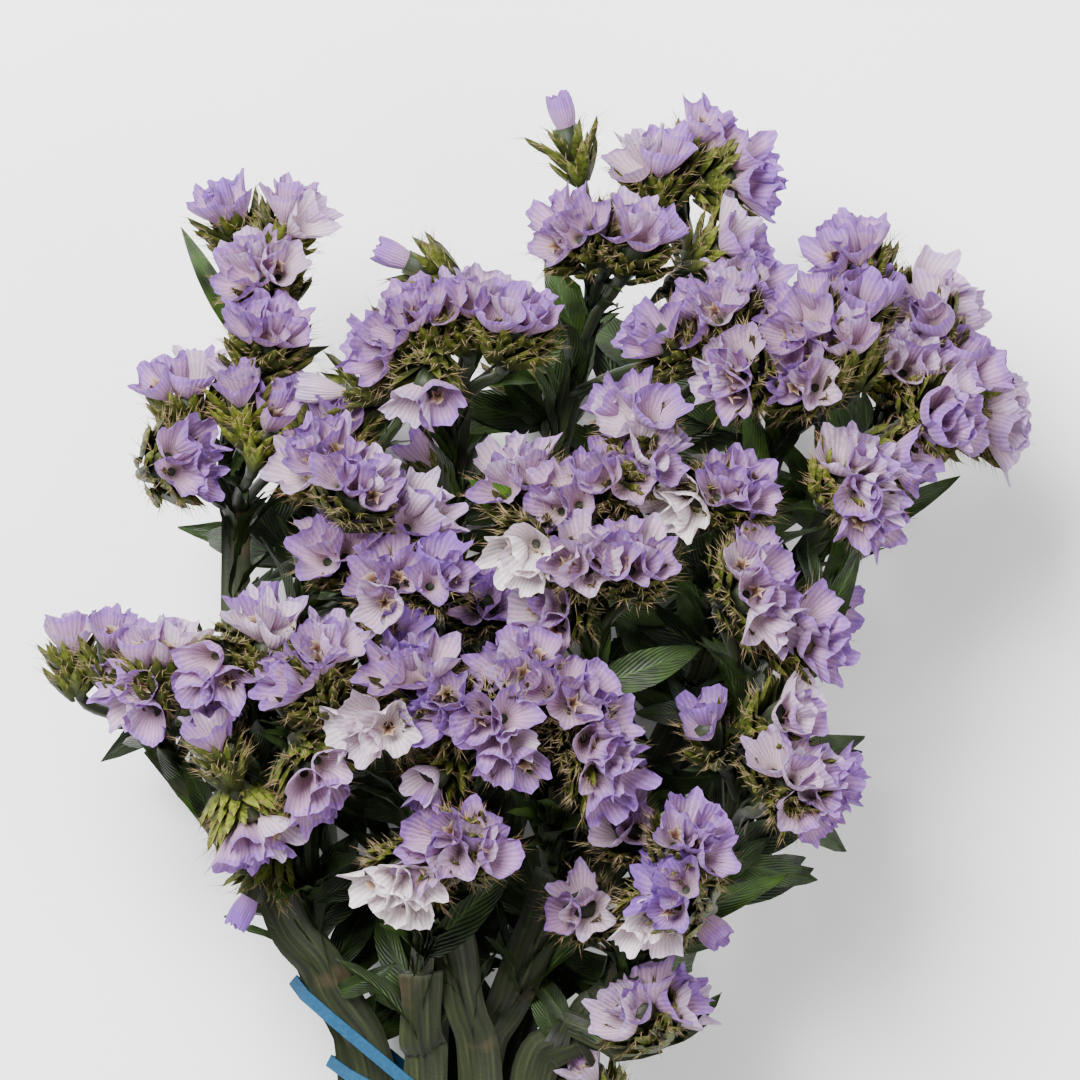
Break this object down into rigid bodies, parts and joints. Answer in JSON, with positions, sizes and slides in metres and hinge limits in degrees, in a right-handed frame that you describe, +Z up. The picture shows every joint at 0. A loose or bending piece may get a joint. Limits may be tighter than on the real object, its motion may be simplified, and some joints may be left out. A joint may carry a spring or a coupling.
{
  "type": "dried flower bunch",
  "caption": "Bunch of dried lavender statice, winged green stems with papery flower heads, tied with a blue rubber band, lying down",
  "frame": {"origin": "middle of the bunch's outline, on the surface that it lies on", "axes": "+Y along the bunch from the cut ends to the flower heads, +Z up from the surface"},
  "size_m": [0.2012, 0.4053, 0.1126],
  "materials": {
    "stem_green": "matte",
    "calyx_lavender": "matte",
    "rubber_blue": "satin"
  },
  "bodies": {
    "root": {"arch_heads_1": "calyx_lavender", "arch_heads_2": "calyx_lavender", "arch_heads_3": "calyx_lavender", "arch_heads_4": "calyx_lavender", "arch_heads_5": "calyx_lavender", "arch_stem": "stem_green", "centre_heads_1": "calyx_lavender", "centre_heads_2": "calyx_lavender", "centre_stem": "stem_green", "crown_heads_1": "calyx_lavender", "crown_heads_2": "calyx_lavender", "crown_heads_3": "calyx_lavender", "crown_heads_4": "calyx_lavender", "crown_heads_5": "calyx_lavender", "crown_heads_6": "calyx_lavender", "crown_stem": "stem_green", "far_left_heads_1": "calyx_lavender", "far_left_heads_2": "calyx_lavender", "far_left_heads_3": "calyx_lavender", "far_left_heads_4": "calyx_lavender", "far_left_heads_5": "calyx_lavender", "far_left_heads_6": "calyx_lavender", "far_left_heads_7": "calyx_lavender", "far_left_heads_8": "calyx_lavender", "far_left_heads_9": "calyx_lavender", "far_left_stem": "stem_green", "low_left_heads_1": "calyx_lavender", "low_left_stem": "stem_green", "low_right_heads_1": "calyx_lavender", "low_right_stem": "stem_green", "mid_left_heads_1": "calyx_lavender", "mid_left_heads_2": "calyx_lavender", "mid_left_heads_3": "calyx_lavender", "mid_left_stem": "stem_green", "right_heads_1": "calyx_lavender", "right_heads_2": "calyx_lavender", "right_heads_3": "calyx_lavender", "right_heads_4": "calyx_lavender", "right_stem": "stem_green", "rubber_band": "rubber_blue", "upper_left_heads_1": "calyx_lavender", "upper_left_heads_10": "calyx_lavender", "upper_left_heads_11": "calyx_lavender", "upper_left_heads_12": "calyx_lavender", "upper_left_heads_2": "calyx_lavender", "upper_left_heads_3": "calyx_lavender", "upper_left_heads_4": "calyx_lavender", "upper_left_heads_5": "calyx_lavender", "upper_left_heads_6": "calyx_lavender", "upper_left_heads_7": "calyx_lavender", "upper_left_heads_8": "calyx_lavender", "upper_left_heads_9": "calyx_lavender", "upper_left_stem": "stem_green", "upper_right_heads_1": "calyx_lavender", "upper_right_heads_2": "calyx_lavender", "upper_right_heads_3": "calyx_lavender", "upper_right_heads_4": "calyx_lavender", "upper_right_heads_5": "calyx_lavender", "upper_right_stem": "stem_green"}
  },
  "joints": []
}
